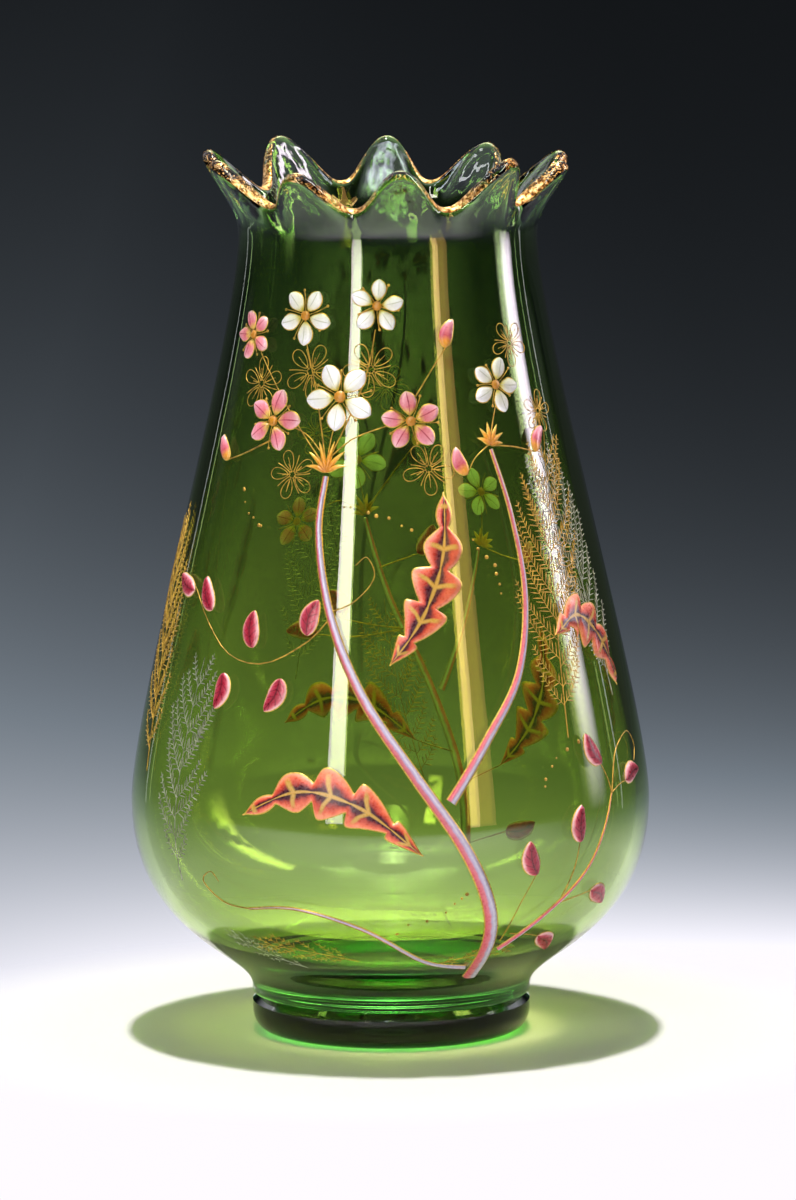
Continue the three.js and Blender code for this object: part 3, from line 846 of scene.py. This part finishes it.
# Buds: single closed petals of the same enamel as the pink blossoms, rose at the tip and amber
# where they leave the stalk, each laid with one touch of the brush.
BUDS = [((-57, 0.71), 130), ((20, 0.86), 70), ((24, 0.7), 110), ((51, 0.72), 55)]
BUD_SIZE = (8.5, 4.4)
LEAF_BEND = 12
LEAF_STEPS = 18


def oval_leaf(name, root, aim, length, width):
    """An oval leaf that bends a little to one side."""
    route = route_through([root, wander(root, aim + LEAF_BEND, length / 2), wander(root, aim, length)])

    def half_width(parts):
        """Half the width of the oval, widest before its middle."""
        return width / 2 * np.maximum(np.sin(math.pi * parts**0.85), 0.0001) ** 0.8

    return lay(bar(name, LEAF_STEPS), route, half_width, line=PETAL_LINE)


def paint_ovals(name, node, rows, size, paint, slot):
    """Lays a group of oval buds or leaflets, each given by its root and the way that it points."""
    for number, (root, aim) in enumerate(rows, 1):
        fit(oval_leaf(f"{name}_{number}", root, aim, *size), paint, slot, f"{node}_{number}")


bud_paint = painted("bud_enamel", "along", [
    (0.0, (214, 150, 40)), (0.25, (230, 150, 60)), (0.42, (206, 84, 106)), (0.8, (236, 150, 164)),
    (1.0, (246, 214, 220)),
], uneven=0.1)
paint_ovals("closed_bud", "bud", BUDS, BUD_SIZE, bud_paint, "pink_enamel")


# Coral leaves: lobed leaves, shaded while wet from coral at the edge to plum round the midrib,
# with the veins drawn over them in gold.
CORAL_LEAVES = [
    [(0, 0.465), (8.5, 0.525), (14.5, 0.6), (16, 0.68)],
    [(7, 0.225), (-6, 0.285), (-20, 0.305), (-34, 0.27)],
    [(46, 0.49), (55, 0.51), (64, 0.475), (70, 0.41)],
]
CORAL_WIDTH = 15
CORAL_STEPS = 120
LOBES = 5
LOBE_SWEEP = 0.09


def lobe_at(parts):
    """Nought between two lobes of a leaf and one in the middle of each."""
    return np.abs(np.sin(math.pi * LOBES * parts)) ** 0.8


def coral_width(parts):
    """Half the width of a lobed leaf along its midrib."""
    body = np.maximum(np.sin(math.pi * parts**0.9), 0) ** 1.1
    return CORAL_WIDTH / 2 * np.maximum(body * (0.34 + 0.66 * lobe_at(parts)), 0.03)


def coral_sweep(parts):
    """How far the lobes reach forwards, less towards the leaf's tip."""
    return LOBE_SWEEP * lobe_at(parts) * (1 - parts)


def paint_coral(name, node, midribs):
    """Lays a group of lobed leaves, each along its midrib."""
    for number, midrib in enumerate(midribs, 1):
        leaf = lay(bar(f"{name}_{number}", CORAL_STEPS), route_through(midrib), coral_width, coral_sweep)
        fit(leaf, coral_paint, "coral_enamel", f"{node}_{number}")


coral_paint = painted("coral_enamel", "edge", [
    (0.0, (52, 16, 30)), (0.22, (74, 20, 36)), (0.42, (196, 66, 48)), (0.66, (232, 106, 74)),
    (0.86, (244, 150, 112)),
], uneven=0.28, vein=(206, 160, 70), veins=LOBES)
paint_coral("coral_leaf", "lobed_leaf", CORAL_LEAVES)


# Crimson leaflets: small oval leaves in two groups on the front. The enamel turns pale pink towards
# the edge, and the veins are scratched dark into it before the firing.
LEFT_LEAFLETS = [
    ((-21, 0.5), 75), ((-27, 0.445), 245), ((-36, 0.48), 95), ((-44, 0.445), 260), ((-52, 0.52), 120),
    ((-62, 0.54), 160),
]
RIGHT_LEAFLETS = [
    ((34, 0.19), 105), ((41, 0.1), 320), ((46, 0.225), 85), ((53, 0.155), 330), ((55, 0.32), 120),
    ((65, 0.29), 10),
]
LEAFLET_SIZE = (10.5, 6)
crimson_paint = painted("crimson_enamel", "edge", [
    (0.0, (148, 30, 50)), (0.4, (176, 44, 66)), (0.66, (206, 84, 104)), (0.86, (240, 186, 190)),
], vein=(104, 18, 34), veins=5, vein_slant=1.1)
paint_ovals("crimson_left", "leaflet_left", LEFT_LEAFLETS, LEAFLET_SIZE, crimson_paint, "crimson_enamel")
paint_ovals("crimson_right", "leaflet_right", RIGHT_LEAFLETS, LEAFLET_SIZE, crimson_paint, "crimson_enamel")


# Back sprig: a smaller spray of the same enamels on the far side, with a stem, a twig, blossoms,
# buds and leaves, laid and fired together with those of the front.
BACK_STEM = [(160, 0.12), (164, 0.24), (171, 0.36), (180, 0.47), (187, 0.58)]
BACK_BLOSSOMS = [
    ((190, 0.66), 0.94, 15, "white"), ((208, 0.58), 0.8, 50, "pink"), ((151, 0.62), 0.78, 35, "white"),
]
BACK_BUDS = [((172, 0.68), 110), ((140, 0.53), 130)]
BACK_LEAVES = [
    [(174, 0.27), (185, 0.32), (196, 0.33), (206, 0.3)],
    [(153, 0.24), (144, 0.3), (138, 0.37), (136, 0.44)],
]
BACK_LEAFLETS = [((192, 0.44), 60), ((199, 0.42), 10), ((172, 0.53), 120), ((150, 0.15), 160)]
BACK_TWIG = [(160, 0.44), (154, 0.54)]
BACK_FORK_AT = 0.45

back_route = route_through(BACK_STEM)
back_fork = spring_from(back_route, SIDE_WIDTH, BACK_FORK_AT, -1, TWIG_WIDTH)
paint_stem("stem_back", "back_stem", back_route, SIDE_WIDTH, steps=70)
paint_stem("twig_back", "back_twig", route_through([back_fork, *BACK_TWIG]), TWIG_WIDTH, steps=40)
back_stamens = paint_blossoms("petals_back", "back_blossom", BACK_BLOSSOMS)[0]
paint_ovals("closed_bud_back", "back_bud", BACK_BUDS, BUD_SIZE, bud_paint, "pink_enamel")
paint_coral("coral_leaf_back", "back_leaf", BACK_LEAVES)
paint_ovals("crimson_back", "back_leaflet", BACK_LEAFLETS, LEAFLET_SIZE, crimson_paint, "crimson_enamel")
paint_eyes("blossom_eyes_back", BACK_BLOSSOMS)
fine_lines("back_stamens", back_stamens, gold_line)


# Calyxes and stalks: amber sepals that fan out at the top of each stem, and the fine gold stalks
# that carry the blossoms, buds and leaflets, drawn with a pointed brush in liquid gold.
SEPAL_HALF_WIDTH = 0.75
SEPALS = [(-62, 6.5), (-36, 8), (-12, 9), (14, 9), (38, 8), (64, 6)]
CALYXES = [
    ((-19, 0.705), 94, 1.0), ((33, 0.735), 78, 0.72), ((153, 0.545), 110, 0.6), ((187, 0.585), 80, 0.72),
]
STALKS = [
    [(-19, 0.72), (-18, 0.75), (-16.5, 0.775)], [(-19, 0.72), (-26, 0.75), (-34, 0.762)],
    [(-19, 0.72), (-11, 0.748), (0, 0.765)], [(-19.5, 0.72), (-24, 0.8), (-30, 0.87)],
    [(-18.5, 0.72), (-8, 0.82), (-4.5, 0.885)], [(-20, 0.715), (-38, 0.8), (-51, 0.855)],
    [(33, 0.74), (35, 0.765), (37, 0.785)], [(33, 0.735), (42, 0.73), (51, 0.72)],
    [(32, 0.735), (27, 0.72), (24, 0.7)], [(7, 0.79), (14, 0.83), (20, 0.86)],
    [(-39.5, 0.74), (-50, 0.72), (-57, 0.71)],
    [(187, 0.59), (188, 0.615), (189.5, 0.64)], [(187, 0.585), (195, 0.605), (203, 0.585)],
    [(187, 0.59), (179, 0.64), (172, 0.68)], [(153, 0.55), (152, 0.575), (151.5, 0.6)],
    [(153, 0.545), (147, 0.535), (140, 0.53)], [(176, 0.425), (184, 0.43), (192, 0.44)],
    [(176, 0.425), (188, 0.415), (199, 0.42)], [(183, 0.51), (177.5, 0.52), (172, 0.53)],
    [(160.5, 0.13), (155, 0.142), (150, 0.15)], [(165, 0.255), (170, 0.262), (174, 0.27)],
    [(163, 0.21), (158, 0.225), (153, 0.24)],
]
TENDRILS = [
    [
        (-15, 0.525), (-21, 0.492), (-32, 0.462), (-43, 0.468), (-53, 0.505), (-62, 0.545),
        (-69, 0.55), (-68, 0.53),
    ],
    [(-15.5, 0.53), (-9, 0.545), (-4, 0.575), (-6, 0.6), (-9, 0.59)],
    [(29, 0.1), (31, 0.15), (34, 0.19)], [(31, 0.11), (37, 0.105), (41, 0.1)],
    [(43, 0.155), (45, 0.19), (46, 0.225)], [(41, 0.145), (47, 0.15), (53, 0.155)],
    [(58, 0.28), (57, 0.3), (55, 0.32)], [(58, 0.28), (62, 0.288), (65, 0.29)],
    [(58, 0.28), (62, 0.33), (70, 0.35), (74, 0.33), (72, 0.31)],
    [(-35, 0.145), (-42, 0.15), (-47, 0.175), (-44, 0.19), (-42, 0.178)],
]


def drawn(stops, steps, start, end):
    """A line through its stops, drawn with a brush that presses less and less."""
    parts = np.linspace(0, 1, steps)
    return route_through(stops)(parts), start + (end - start) * parts


def sepal_width(parts):
    """Half the width of a sepal, which is widest near its root."""
    return SEPAL_HALF_WIDTH * np.sin(math.pi * parts**0.7 * 0.98 + 0.05)


amber_sepals = painted("amber_enamel", "along", [
    (0.0, (190, 110, 24)), (0.5, (232, 156, 40)), (1.0, (250, 206, 96)),
], uneven=0.1)
sepals = []
for root, upright, size in CALYXES:
    for turn, length in SEPALS:
        aim = upright - turn
        middle, tip = wander(root, aim, length * size / 2), wander(root, aim - turn / 6, length * size)
        route = route_through([root, middle, tip])
        sepals.append(lay(bar("calyx_sepals", 10), route, sepal_width, line=0.2))
fit(joined(sepals), amber_sepals, "gilding")
fine_lines("gold_stalks", [drawn(stops, 12, 0.5, 0.3) for stops in STALKS], gold_line)
fine_lines("gold_tendrils", [drawn(stops, 24, 0.46, 0.2) for stops in TENDRILS], gold_line)


# Outline blossoms: the farther blossoms of the bunch, only drawn with the pointed brush in liquid
# gold, with a ring for an eye and stamens round it.
OUTLINE_BLOSSOMS = [
    ((-27, 0.83), 0.8, 30), ((-6, 0.835), 0.78, 8), ((-47, 0.81), 0.76, 55), ((12, 0.71), 0.74, 20),
    ((-30, 0.7), 0.7, 0), ((47, 0.86), 0.66, 14), ((56, 0.77), 0.62, 40), ((181, 0.76), 0.72, 10),
    ((204, 0.7), 0.66, 45),
]
OUTLINE_WIDTH = 0.24
RIB_WIDTH = 0.16


def outline_blossom(centre, size, turned):
    """Lines round five petals, with a rib down each, and a ring with stamens in the middle."""
    reach = size * BLOSSOM_REACH
    lines = []
    round_petal = np.linspace(0, math.tau, 19)
    along = 0.6 - 0.4 * np.cos(round_petal)
    across = 0.3 * np.sin(round_petal) * (0.75 - 0.25 * np.cos(round_petal))
    for count in range(PETALS):
        aim = turned + (count + 0.5) * 360 / PETALS + hand.uniform(-4, 4)
        aims = aim + np.degrees(np.arctan2(across, along))
        lines.append((wander(centre, aims, reach * np.hypot(across, along)), OUTLINE_WIDTH))
        lines.append((wander(centre, aim, reach * np.linspace(0.3, 0.72, 3)), RIB_WIDTH))
    lines.append((wander(centre, np.linspace(0, 360, 13), np.full(13, reach * 0.14)), OUTLINE_WIDTH))
    return lines + stamens(centre, size, turned)[0]


drawn_blossoms = [line for row in OUTLINE_BLOSSOMS for line in outline_blossom(*row)]
fine_lines("outline_blossoms", drawn_blossoms, gold_line)


# Feathery sprays: airy fronds of tiny strokes in matt gold and in silver that has greyed. They lie
# flat on the glass, so the enamel stands in front of them.
GOLD_FRONDS = [
    ((45, 0.36), 88, 86, -12, 12), ((-71, 0.3), 96, 74, 12, 10), ((-9, 0.075), 158, 32, 22, 6),
    ((14, 0.07), 25, 22, -18, 5), ((171, 0.2), 70, 60, 14, 9),
]
SILVER_FRONDS = [
    ((66, 0.4), 96, 72, 10, 10), ((-55, 0.17), 92, 64, -10, 9), ((-26, 0.06), 152, 26, -16, 5),
    ((204, 0.36), 96, 62, -8, 9),
]
BRANCH_REACH = 0.3
BRANCH_ANGLE = 56
BRANCH_CLOSING = 16
BRANCH_BEND = 16


def frond(root, aim, length, bend, pairs):
    """Lines of one frond: a rib that bends, side ribs along it, and short strokes along those."""
    parts = np.linspace(0, 1, 14)
    rib = [np.array(root, float)]
    for part in parts[1:]:
        rib.append(wander(rib[-1], aim + bend * part, length / 13))
    rib = np.array(rib)
    lines = [(rib, 0.34 - 0.2 * parts)]
    for count in range(2 * pairs):
        part = 0.1 + 0.86 * (count // 2 + hand.uniform(-0.2, 0.2)) / pairs
        side = 1 if count % 2 else -1
        start = np.array([np.interp(part, parts, rib[:, column]) for column in (0, 1)])
        reach = length * BRANCH_REACH * math.sin(math.pi * (0.12 + 0.8 * part)) * hand.uniform(0.8, 1.1)
        heading = aim + bend * part + side * (BRANCH_ANGLE - BRANCH_CLOSING * part + hand.uniform(-6, 6))
        steps = np.linspace(0, 1, 6)
        branch = wander(start, heading - side * BRANCH_BEND * steps, reach * steps)
        lines.append((branch, 0.22 - 0.1 * steps))
        strokes = max(int(reach / 1.5), 2)
        for stroke in range(1, strokes):
            share = stroke / strokes
            base = np.array([np.interp(share, steps, branch[:, column]) for column in (0, 1)])
            size = (0.7 + 0.13 * reach * (1 - share) ** 0.7) * hand.uniform(0.8, 1.2)
            for way in (-1, 1):
                tilt = heading - side * BRANCH_BEND * share + way * hand.uniform(42, 60)
                stroke_line = wander(base, tilt, size * np.array([0, 0.55, 1]))
                lines.append((stroke_line, np.array([0.18, 0.34, 0.12])))
    return lines


silver_line = drawn_metal("line_silver", (176, 174, 160), (104, 104, 92))
fine_lines("gold_sprays", [line for row in GOLD_FRONDS for line in frond(*row)], gold_line)
fine_lines("silver_sprays", [line for row in SILVER_FRONDS for line in frond(*row)], silver_line)


# Gold specks: strings of small drops of liquid gold, dotted on with the tip of the brush in the
# bare glass between the stems.
SPECK_STRINGS = [
    [(-13, 0.665), (-3, 0.655), (6, 0.635)], [(-48, 0.68), (-44, 0.65), (-38, 0.63)],
    [(2, 0.12), (12, 0.15), (18, 0.17)], [(36, 0.3), (41, 0.34), (50, 0.36)],
    [(24, 0.62), (29, 0.585), (31, 0.55)],
]
SPECKS_ON_STRING = 7
specks, speck_sizes = [], []
for stops in SPECK_STRINGS:
    for turn, share in route_through(stops)(np.linspace(0, 1, SPECKS_ON_STRING)):
        specks.append((turn + hand.uniform(-0.8, 0.8), share + hand.uniform(-0.004, 0.004)))
        speck_sizes.append(hand.uniform(0.28, 0.62))
drops("gold_specks", specks, speck_sizes, gold_line)


# Table and backdrop: a broad white table with a pool of light painted on it round the vase, a glow that
# falls off to slate behind it, under a dark room. Close to the vase it is plain matt white and takes the
# shadow.
TABLE_RADIUS = 4.2
TABLE_GAP = 0.0002
MATT_TO = 0.085
GLOWS_FROM = 0.15
POOL_CENTRE = -0.10
POOL_REACH = 0.10
POOL_GLOW = 1.36
HALF_WAY = 0.205
SLANT_SPREAD = 0.15
SLANT_FROM = 0.1
SLANT_TURNS = 0.24
SLANT = 2.2
ROOM_GLOW = 0.006
NEAR_TINT = (1.0, 0.97, 1.05)
SLATE_TINT = (0.85, 1.0, 1.17)
TABLE_WHITE = (0.72, 0.705, 0.68, 1)
ROOM_LIGHT = 0.1
ROOM = (20, 23, 27)
CEILING = [(0.72, (0.75, 0.77, 1.0)), (1.0, (0.8, 0.8, 0.96))]


def looked_at(tree):
    """One where the camera sees the surface, straight, in a reflection or through the glass."""
    path = new_node(tree, "LightPath")
    straight = maths("ADD", path["Is Camera Ray"], path["Is Glossy Ray"])
    return maths("MINIMUM", 1, maths("ADD", straight, path["Is Transmission Ray"]))


world = bpy.data.worlds.new("room")
bpy.context.scene.world = world
world.use_nodes = True
tree = world.node_tree
feed(tree.nodes["Background"], {"Color": (1, 1, 1, 1), "Strength": ROOM_LIGHT})
upwards = split(new_node(tree, "TexCoord")["Generated"])["Z"]
seen = new_node(tree, "Background", {"Color": ramp(upwards, [(0.5, linear(ROOM)), *CEILING])})
room = mixed(looked_at(tree), tree.nodes["Background"].outputs["Background"], seen["Background"])
feed(tree.nodes["World Output"], {"Surface": room})

circle = bpy.ops.mesh.primitive_circle_add
table = start_from(circle, "table", vertices=96, radius=TABLE_RADIUS, fill_type="NGON")
table.data.transform(Matrix.Translation((0, 0, -TABLE_GAP)))
material, tree, matt = new_material("white_table")
feed(matt, {"Base Color": TABLE_WHITE, "Roughness": 0.9, "Specular IOR Level": 0.1})
place = split(own_place(tree))
x, y = place["X"], place["Y"]
back = maths("SUBTRACT", y, POOL_CENTRE)
squares = [maths("MULTIPLY", value, value) for value in (x, back)]
reach = maths("SQRT", maths("ADD", *squares))
# The pool's edge runs a little aslant: nearer on the left close to the vase, and farther behind it
aside = clamp(x, -SLANT_SPREAD, SLANT_SPREAD)
behind = maths("SUBTRACT", maths("MAXIMUM", y, SLANT_FROM), SLANT_TURNS)
slanted = maths("MULTIPLY", aside, maths("MULTIPLY", behind, SLANT))
away = maths("ADD", maths("SUBTRACT", reach, POOL_REACH), slanted)
# The painted light falls off as a lamp's does, with the square of the distance, and turns from white to slate
ratio = maths("DIVIDE", maths("MAXIMUM", away, 0), HALF_WAY)
spread_out = maths("ADD", 1, maths("MULTIPLY", ratio, ratio))
glow = maths("ADD", ROOM_GLOW, maths("DIVIDE", POOL_GLOW, spread_out))
# Painted pool of light: the table glows here instead of being lit by a lamp
painted_pool = new_node(tree, "Emission", {
    "Color": ramp(away, [(0.1, NEAR_TINT), (0.5, SLATE_TINT)]),
    "Strength": maths("MINIMUM", 1, glow),
})
round_vase = tree.nodes.new("ShaderNodeVectorMath")
round_vase.operation = "LENGTH"
feed(round_vase, {0: own_place(tree)})
beyond = tree.nodes.new("ShaderNodeMapRange")
beyond.interpolation_type = "SMOOTHSTEP"
feed(beyond, {"Value": round_vase.outputs["Value"], "From Min": MATT_TO, "From Max": GLOWS_FROM})
glows = maths("MULTIPLY", beyond.outputs["Result"], looked_at(tree))
top = mixed(glows, matt.outputs["BSDF"], painted_pool["Emission"])
# From underneath the table is out of the way, so that the foot can be looked at
below = new_node(tree, "NewGeometry")["Backfacing"]
both_sides = mixed(below, top, new_node(tree, "BsdfTransparent")["BSDF"])
feed(tree.nodes["Material Output"], {"Surface": both_sides})
table.data.materials.append(material)


# Lamps: one small lamp high overhead, which throws the round shadow, and a soft fill for the
# painting. Upright soft boxes and strips round the vase, and sheets over, under and behind it, only
# show in the glass and the gold.
def lamp(name, place, aim, size, power, colour=(1, 1, 1), reflects=True, lights=True):
    """A flat lamp at a place in metres, facing the aim, which the camera doesn't see."""
    light = bpy.data.lights.new(name, "AREA")
    light.shape = "RECTANGLE"
    light.size, light.size_y = size
    light.energy = power
    light.color = colour
    holder = in_scene(name, light)
    towards = Vector(aim) - Vector(place)
    holder.rotation_euler = towards.to_track_quat("-Z", "Y").to_euler()
    holder.location = place
    holder.visible_camera = False
    holder.visible_glossy = reflects
    holder.visible_transmission = reflects
    holder.visible_diffuse = lights
    return holder


def fade(holder, axis, stops):
    """Makes a lamp's brightness change along one of its own sides, on top of any change before."""
    holder.data.use_nodes = True
    tree = holder.data.node_tree
    strength = tree.nodes["Emission"].inputs["Strength"]
    share = ramp(split(new_node(tree, "NewGeometry")["Parametric"])[axis], stops)
    if strength.is_linked:
        share = maths("MULTIPLY", share, strength.links[0].from_socket)
    tree.links.new(share, strength)


def feather(holder, axis, margin):
    """Fades a lamp out over a margin at both ends of one of its sides."""
    fade(holder, axis, [(0.0, 0.0), (margin, 1.0), (1 - margin, 1.0), (1.0, 0.0)])


def soft_box(name, turn, away, size, low, glow, colour, foot=0.35, full=0.5):
    """An upright soft box that stands at a turn from the front, dimmer at its foot than higher up."""
    width, tall = size
    angle = math.radians(turn)
    middle = low + tall / 2
    place = (away * math.sin(angle), -away * math.cos(angle), middle)
    holder = lamp(name, place, (0, 0, middle), size, glow * math.pi * width * tall, colour, lights=False)
    fade(holder, "Y", [(0.0, foot), (full, 1.0)])
    return holder


def sheet(name, place, aim, size, power, colour, **margins):
    """A flat lamp that only shows, and fades out along its sides by the margins given for them."""
    holder = lamp(name, place, aim, size, power, colour, lights=False)
    for axis, margin in margins.items():
        feather(holder, axis, margin)
    return holder


lamp("overhead_lamp", (-0.033, 0.0, 2.2), (0, 0, 0), (0.17, 0.09), 58, (1.0, 0.99, 0.98))
soft_box("left_soft_box", -23, 0.5, (0.062, 0.38), 0.07, 17, (1.0, 0.92, 0.86), foot=0.45, full=0.6)
soft_box("gold_soft_box", 35, 0.5, (0.036, 0.45), 0.05, 13, (1.0, 0.64, 0.24), foot=0.7)
soft_box("amber_soft_box", 40.5, 0.5, (0.06, 0.45), 0.05, 3.5, (1.0, 0.55, 0.16), foot=0.7)
right_box = soft_box("right_soft_box", 99, 0.5, (0.12, 0.9), 0.0, 19, (1.0, 0.88, 1.0), foot=0.3, full=0.36)
feather(right_box, "X", 0.3)
fade(right_box, "Y", [(0.04, 0.0), (0.24, 1.0)])
soft_box("left_high_box", -98, 0.5, (0.05, 0.6), 0.35, 9, (0.94, 0.97, 1.0))
soft_box("left_edge_strip", -133, 0.6, (0.012, 0.6), 0.0, 2, (0.95, 0.98, 1.0))
soft_box("right_edge_strip", 119, 0.6, (0.012, 0.6), 0.0, 3, (0.95, 0.98, 1.0))
sheet("table_bounce", (0, -0.36, 0.002), (0, -0.36, 1), (1.8, 0.6), 4.6, (1.0, 0.98, 1.0), X=0.3, Y=0.4)
sheet("ceiling_sheet", (-0.15, -0.75, 1.5), (0, 0, 0.2), (1.6, 0.4), 12, (0.84, 0.9, 1.0), X=0.35, Y=0.45)
sheet("crown_box", (-0.05, -0.95, 1.2), (0, 0, 0.2), (0.34, 1.5), 20, (0.8, 0.88, 1.0), X=0.5)
sheet("back_soft_box", (0, 1.0, 0.95), (0, 0, 0.2), (1.0, 0.7), 17, (1.0, 1.0, 0.6), X=0.5)
sheet("left_card", (-1.0, 0.9, 0.1), (0, 0, 0.1), (2.2, 0.2), 0.018, (0.9, 0.96, 1.0))
sheet("right_card", (1.0, 0.9, 0.1), (0, 0, 0.1), (2.2, 0.2), 0.022, (0.9, 0.96, 1.0))
for name, side in (("left_back_sheet", -1), ("right_back_sheet", 1)):
    place = (side * 0.75, 0.8, 0.6)
    back_sheet = sheet(name, place, (0, 0, 0), (1.0, 0.8), 4.2, (0.92, 0.92, 1.0), X=0.4, Y=0.4)
    back_sheet.visible_transmission = False
lamp("painting_fill", (-0.7, -1.3, 0.36), (0, 0, 0.12), (0.8, 0.6), 11, reflects=False)


# Camera: a long lens, well back and a little above the vase, turned down towards its belly and
# leaning a little to one side.
LENS = 279.19
SENSOR_WIDTH = 36
SIDE_SHIFT = 0.00714
CAMERA_PLACE = (0, -2.6, 0.495)
TILT = 8.158
LEAN = 0.269

camera = bpy.data.cameras.new("camera")
camera.lens = LENS
camera.sensor_width = SENSOR_WIDTH
camera.shift_x = SIDE_SHIFT
viewer = in_scene("camera", camera)
viewer.location = CAMERA_PLACE
turned = Matrix.Rotation(math.radians(90 - TILT), 3, "X") @ Matrix.Rotation(math.radians(-LEAN), 3, "Z")
viewer.rotation_euler = turned.to_euler()
bpy.context.scene.camera = viewer
bpy.context.scene.view_settings.view_transform = "Standard"
